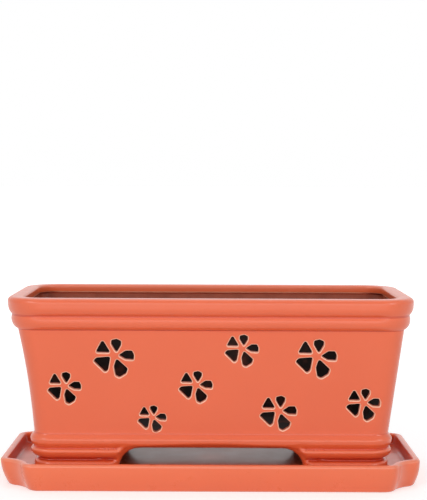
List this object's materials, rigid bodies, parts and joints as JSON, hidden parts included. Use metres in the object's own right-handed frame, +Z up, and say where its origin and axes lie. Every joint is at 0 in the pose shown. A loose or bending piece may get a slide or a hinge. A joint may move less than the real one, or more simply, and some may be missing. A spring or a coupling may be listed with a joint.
{
  "type": "slotted orchid pot with saucer",
  "caption": "Long glazed orchid pot with flower-shaped air slots, a moulded rim and foot and an arched foot, standing in its own saucer with scooped corners.",
  "frame": {"origin": "on the ground, under the middle of the saucer", "axes": "+Z up, +X along the length towards the right end, the front faces -Y"},
  "size_m": [0.3236, 0.1408, 0.1458],
  "materials": {
    "pot_glaze": "satin orange glaze, paler and thinner along edges",
    "saucer_glaze": "satin orange glaze, paler and thinner along edges"
  },
  "bodies": {
    "saucer": {"saucer": "saucer_glaze"},
    "pot": {"pot": "pot_glaze"}
  },
  "joints": [
    {"name": "pot_lift", "type": "slide", "parent": "saucer", "child": "pot", "axis": [0, 0, 1], "range_m": [0, 0.2]}
  ]
}
